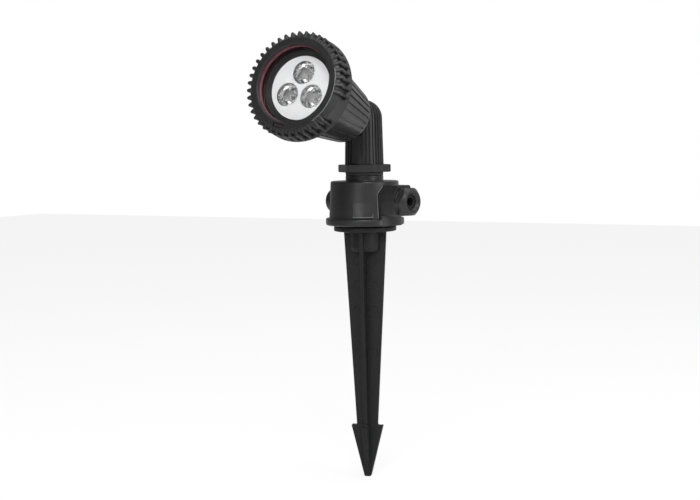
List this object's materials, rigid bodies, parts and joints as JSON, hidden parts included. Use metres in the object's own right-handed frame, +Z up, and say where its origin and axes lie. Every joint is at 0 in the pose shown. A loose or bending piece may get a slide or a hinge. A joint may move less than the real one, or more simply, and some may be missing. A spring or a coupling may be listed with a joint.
{
  "type": "garden spike spotlight",
  "caption": "Tilting garden spotlight: ribbed cone head with screw ring and clear lenses on a fluted post, round junction box with cable gland, and a barbed cross-vane ground spike",
  "frame": {"origin": "on the post's axis at ground level: the centre of the underside of the spike's disc, from which the spike goes into the ground", "axes": "+Z up along the spike and post, the lamp faces -Y with its tilt axis along X, +X completes the right hand"},
  "size_m": [0.0939, 0.1571, 0.3609],
  "materials": {
    "housing": "fine satin, dark charcoal",
    "spike": "satin, dark charcoal",
    "seal_black": "dull black",
    "gasket_red": "silk, dark red",
    "glass": "clear, polished",
    "lens": "clear, polished",
    "plate_white": "matte white",
    "baffle_black": "dull black",
    "screw_steel": "plain",
    "brass": "plain",
    "terminal_plastic": "natural white",
    "heat_metal": "turned",
    "pad_grey": "matte grey",
    "board_green": "solder mask",
    "driver_dark": "plain"
  },
  "bodies": {
    "spike_and_box": {"ground_spike": "spike", "box_base": "housing", "box_cover": "housing", "box_seal": "seal_black", "box_screws": "screw_steel", "terminal_block": "terminal_plastic", "terminal_screws": "brass", "gland_body": "housing", "gland_washer": "seal_black", "gland_seal": "seal_black", "blanking_plug": "housing", "plug_seal": "seal_black", "swivel_washer": "seal_black"},
    "gland_nut": {"gland_nut": "housing"},
    "post": {"knuckle_post": "housing", "stem_nut": "housing", "tilt_screw": "screw_steel", "tilt_washer": "screw_steel", "tilt_nut": "screw_steel"},
    "lock_nut": {"lock_nut": "housing"},
    "lamp": {"knuckle_tongue": "housing", "hub_seal": "seal_black", "hub_screws": "screw_steel", "lamp_body": "housing", "driver_case": "baffle_black", "driver_board": "board_green", "driver_parts": "driver_dark", "heat_cup": "heat_metal", "thermal_pad": "pad_grey", "led_board": "plate_white", "led_emitters": "lens", "board_screws": "screw_steel", "lens_top": "lens", "lens_left": "lens", "lens_right": "lens", "lens_plate": "plate_white", "inner_baffle": "baffle_black", "cover_glass": "glass", "glass_gasket": "gasket_red"},
    "front_ring": {"front_ring": "housing"}
  },
  "joints": [
    {"name": "post_swivel", "type": "hinge", "parent": "spike_and_box", "child": "post", "pos_m": [0, 0, 0.0455], "axis": [0, 0, 1], "range_deg": [-170, 170]},
    {"name": "head_tilt", "type": "hinge", "parent": "post", "child": "lamp", "pos_m": [0, 0, 0.0919], "axis": [-1, 0, 0], "range_deg": [-30, 75]},
    {"name": "lock_nut_turn", "type": "hinge", "parent": "post", "child": "lock_nut", "pos_m": [0, 0, 0.05175], "axis": [0, 0, 1], "continuous": true},
    {"name": "gland_nut_turn", "type": "hinge", "parent": "spike_and_box", "child": "gland_nut", "pos_m": [0.04755, -0.01545, 0.0249], "axis": [0.9511, -0.309, 0], "continuous": true},
    {"name": "ring_turn", "type": "hinge", "parent": "lamp", "child": "front_ring", "pos_m": [0, -0.10786, 0.11438], "axis": [0, -0.9659, 0.2588], "continuous": true}
  ]
}
